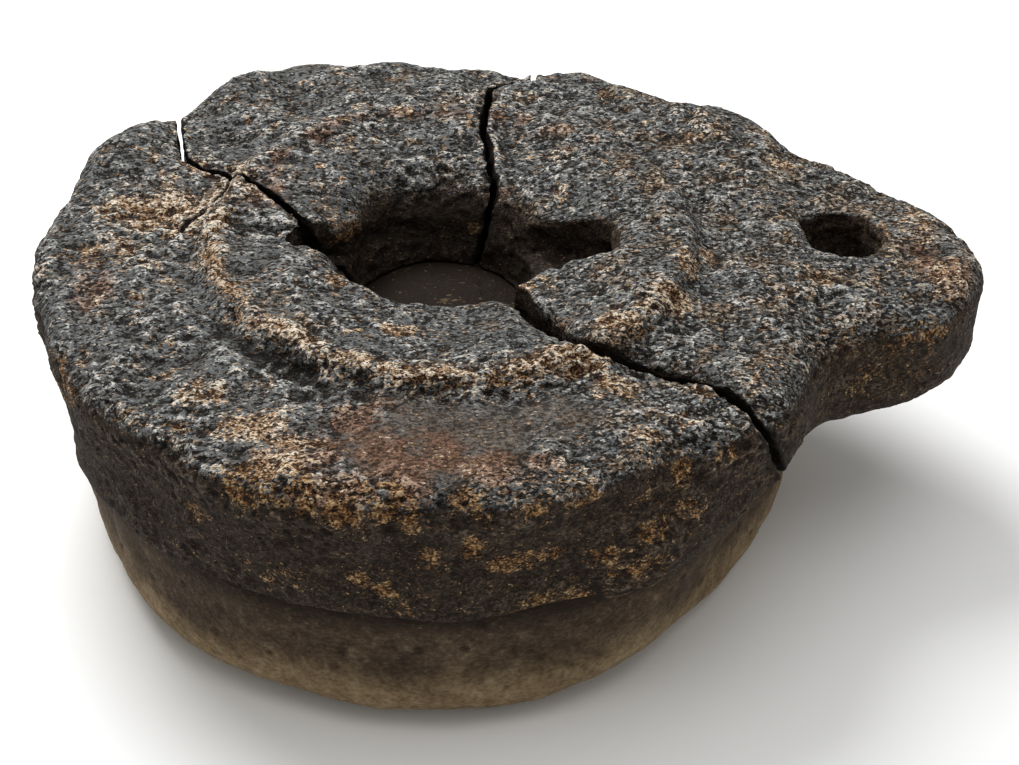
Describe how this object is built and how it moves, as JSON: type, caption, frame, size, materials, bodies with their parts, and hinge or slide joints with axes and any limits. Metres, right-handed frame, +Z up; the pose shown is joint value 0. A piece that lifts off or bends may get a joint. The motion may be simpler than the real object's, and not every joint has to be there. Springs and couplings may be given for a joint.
{
  "type": "rotary quern",
  "caption": "Worn stone hand mill: a round bed stone under a disc-shaped upper stone with a raised collar, a central eye and a lobe with a handle socket, the upper stone broken right through.",
  "frame": {"origin": "where the mill's vertical axis meets the flat underside of the bed stone", "axes": "+Z up along the mill's axis, +X toward the lobe with the handle socket, +Y to the back"},
  "size_m": [0.5191, 0.4253, 0.1821],
  "materials": {
    "bed_basalt": "worn smooth, dark olive brown",
    "upper_basalt": "rough and pitted, charcoal with reddish brown and ochre patches"
  },
  "bodies": {
    "root": {"bed_stone": "bed_basalt", "upper_stone_front_piece": "upper_basalt", "upper_stone_back_piece": "upper_basalt", "upper_stone_handle_piece": "upper_basalt"}
  },
  "joints": []
}
